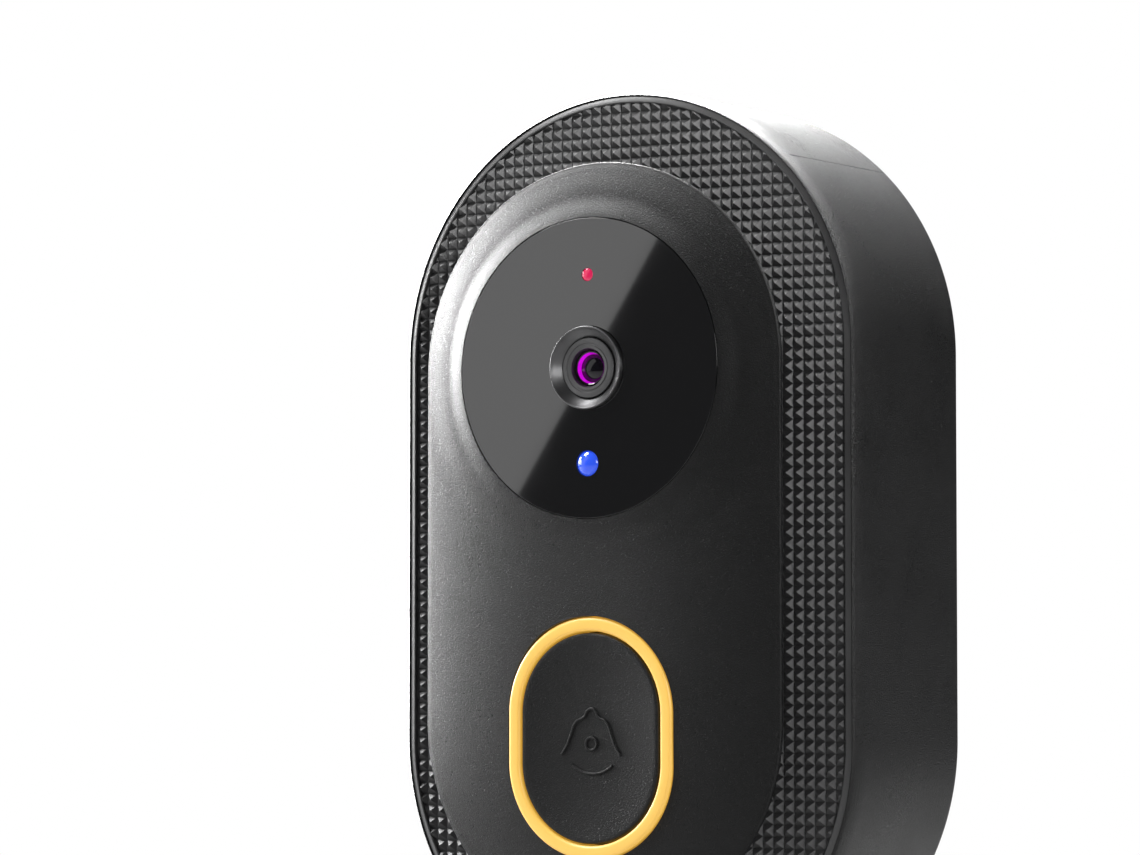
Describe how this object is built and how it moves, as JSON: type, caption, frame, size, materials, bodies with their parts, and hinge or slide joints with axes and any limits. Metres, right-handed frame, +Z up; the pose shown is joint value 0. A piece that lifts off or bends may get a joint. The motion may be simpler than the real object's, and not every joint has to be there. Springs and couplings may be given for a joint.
{
  "type": "video doorbell",
  "caption": "Battery video doorbell with a floating front panel, round camera window, lit ring button and a hook-on wall bracket.",
  "frame": {"origin": "on the wall face of the bracket, midway between its two screw holes, which is the middle of the body's height and width", "axes": "+X to the right as a visitor sees it, +Z up, and the front faces -Y, away from the wall"},
  "size_m": [0.068, 0.039, 0.118],
  "materials": {
    "bracket_plastic": "moulded, fine grain",
    "steel": "zinc plated",
    "housing_plastic": "spark-eroded grain",
    "texture_plastic": "moulded pyramids, satin",
    "panel_plastic": "satin, fine grain",
    "window_glass": "polished, black",
    "black_tape": "adhesive tape",
    "bezel_metal": "turned, satin",
    "barrel_metal": "anodised",
    "lens_glass": "coated, purple tinge",
    "holder_plastic": "black",
    "sensor": "silicon under glass",
    "circuit_board": "solder mask",
    "led_package": "white package",
    "red_led": "clear red light pipe",
    "blue_led": "clear blue dome",
    "light_guide": "warm diffusing light guide",
    "button_plastic": "satin",
    "switch_plastic": "natural",
    "silicone": "soft silicone",
    "chip_plastic": "moulded epoxy",
    "flex_film": "polyimide film",
    "wire_insulation": "smooth",
    "red_wire": "smooth",
    "speaker_paper": "pressed cone",
    "foam": "closed-cell foam",
    "mic_metal": "plated",
    "frame_plastic": "natural moulded",
    "battery_wrap": "shrink film",
    "cover_plastic": "moulded, fine grain"
  },
  "bodies": {
    "bracket": {"wall_bracket": "bracket_plastic", "bracket_catch": "steel"},
    "doorbell": {"camera_screws": "steel", "panel_screws": "steel", "board_screws": "steel", "frame_screws": "steel", "charge_screws": "steel", "cover_screws": "steel", "usb_socket": "steel", "processor_shield": "steel", "housing": "housing_plastic", "texture_plate": "texture_plastic", "front_panel": "panel_plastic", "camera_window": "window_glass", "window_tape": "black_tape", "lens_bezel": "bezel_metal", "lens_barrel": "barrel_metal", "front_lens": "lens_glass", "rear_lens": "lens_glass", "infrared_filter": "lens_glass", "lens_holder": "holder_plastic", "button_switch": "holder_plastic", "reset_switch": "holder_plastic", "speaker_frame": "holder_plastic", "image_sensor": "sensor", "camera_board": "circuit_board", "window_board": "circuit_board", "button_board": "circuit_board", "main_board": "circuit_board", "antenna": "circuit_board", "charge_board": "circuit_board", "ring_leds": "led_package", "infrared_leds": "led_package", "status_led": "red_led", "indicator_dome": "blue_led", "light_ring": "light_guide", "button_membrane": "silicone", "cover_seal": "silicone", "microphone_seal": "silicone", "board_chips": "chip_plastic", "camera_flex": "flex_film", "button_flex": "flex_film", "antenna_lead": "wire_insulation", "battery_lead": "red_wire", "speaker_cone": "speaker_paper", "speaker_gasket": "foam", "battery_pad": "foam", "microphone": "mic_metal", "inner_frame": "frame_plastic", "battery_pack": "battery_wrap", "rear_cover": "cover_plastic"},
    "button": {"button_cap": "button_plastic"},
    "plunger": {"switch_plunger": "switch_plastic"},
    "flap": {"usb_flap": "silicone"},
    "reset": {"reset_button": "switch_plastic"}
  },
  "joints": [
    {"name": "bracket_lift", "type": "slide", "parent": "bracket", "child": "doorbell", "axis": [0, 0, 1], "range_m": [0, 0.006], "deforming": ["bracket_catch"]},
    {"name": "button_press", "type": "slide", "parent": "doorbell", "child": "button", "axis": [0, 1, 0], "range_m": [0, 0.0006], "stiffness_N_per_m": 1200, "springref_m": -0.0006, "deforming": ["button_membrane"]},
    {"name": "plunger_press", "type": "slide", "parent": "doorbell", "child": "plunger", "axis": [0, 1, 0], "range_m": [0, 0.0006]},
    {"name": "flap_hinge", "type": "hinge", "parent": "doorbell", "child": "flap", "pos_m": [0, -0.00835, -0.0583], "axis": [1, 0, 0], "range_deg": [0, 95], "stiffness_Nm_per_rad": 0.004, "springref_deg": -11.46},
    {"name": "reset_press", "type": "slide", "parent": "doorbell", "child": "reset", "axis": [0, -1, 0], "range_m": [0, 0.0003], "stiffness_N_per_m": 600, "springref_m": -0.0006}
  ],
  "couplings": [
    {"joint": "plunger_press", "follows": "button_press", "ratio": 1}
  ]
}
